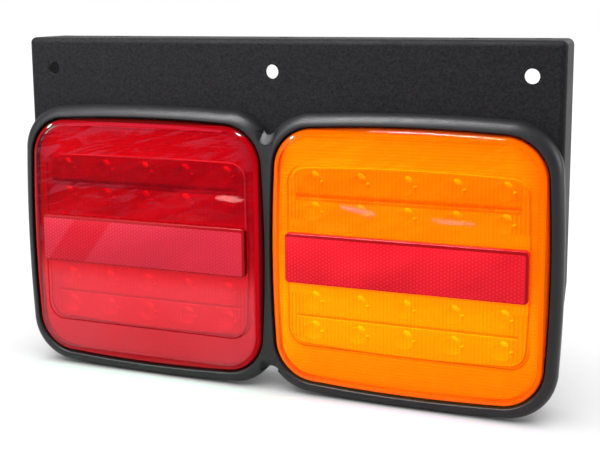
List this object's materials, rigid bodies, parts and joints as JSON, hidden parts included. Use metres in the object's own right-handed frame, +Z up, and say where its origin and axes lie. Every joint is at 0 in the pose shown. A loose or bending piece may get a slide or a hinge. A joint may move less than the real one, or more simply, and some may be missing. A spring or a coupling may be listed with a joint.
{
  "type": "trailer tail light",
  "caption": "Twin LED tail light: square red and amber lenses with red reflex bars, side by side in a moulded black surround on a folded steel bracket.",
  "frame": {"origin": "middle of the bracket's top flange, on its upper face, halfway through the flange's depth", "axes": "+X along the width from the red lamp to the amber lamp, lenses face -Y, +Z up out of the top flange"},
  "size_m": [0.284, 0.0403, 0.1762],
  "materials": {
    "bracket_steel": "black powder coat with a fine sandy texture, satin",
    "surround_plastic": "moulded black plastic, fine grain, satin",
    "housing_plastic": "moulded black plastic, matte",
    "rubber": "black rubber, matte",
    "red_lens": "clear red acrylic, polished",
    "amber_lens": "clear amber acrylic, polished",
    "reflector_red": "red reflex acrylic with a fine prism pattern",
    "clear_optic": "clear moulded optic, polished",
    "circuit_board": "white solder mask",
    "led": "white strip with yellow phosphor domes",
    "zinc_steel": "zinc-plated steel"
  },
  "bodies": {
    "root": {"bracket": "bracket_steel", "surround": "surround_plastic", "red_gasket": "rubber", "red_housing": "housing_plastic", "red_lens_seal": "rubber", "red_lens": "red_lens", "red_reflector": "reflector_red", "red_optic_panel": "clear_optic", "red_circuit_board": "circuit_board", "red_led_strip_1": "led", "red_led_strip_2": "led", "red_led_strip_3": "led", "red_led_strip_4": "led", "red_board_screw_1": "zinc_steel", "red_board_screw_2": "zinc_steel", "red_board_screw_3": "zinc_steel", "red_board_screw_4": "zinc_steel", "red_terminal_block": "housing_plastic", "red_cable_grommet": "rubber", "red_vent_plug": "rubber", "red_stud_upper": "zinc_steel", "red_washer_upper": "zinc_steel", "red_lock_washer_upper": "zinc_steel", "red_nut_upper": "zinc_steel", "red_stud_lower": "zinc_steel", "red_washer_lower": "zinc_steel", "red_lock_washer_lower": "zinc_steel", "red_nut_lower": "zinc_steel", "amber_gasket": "rubber", "amber_housing": "housing_plastic", "amber_lens_seal": "rubber", "amber_lens": "amber_lens", "amber_reflector": "reflector_red", "amber_optic_panel": "clear_optic", "amber_circuit_board": "circuit_board", "amber_led_strip_1": "led", "amber_led_strip_2": "led", "amber_led_strip_3": "led", "amber_led_strip_4": "led", "amber_board_screw_1": "zinc_steel", "amber_board_screw_2": "zinc_steel", "amber_board_screw_3": "zinc_steel", "amber_board_screw_4": "zinc_steel", "amber_terminal_block": "housing_plastic", "amber_cable_grommet": "rubber", "amber_vent_plug": "rubber", "amber_stud_upper": "zinc_steel", "amber_washer_upper": "zinc_steel", "amber_lock_washer_upper": "zinc_steel", "amber_nut_upper": "zinc_steel", "amber_stud_lower": "zinc_steel", "amber_washer_lower": "zinc_steel", "amber_lock_washer_lower": "zinc_steel", "amber_nut_lower": "zinc_steel"}
  },
  "joints": []
}
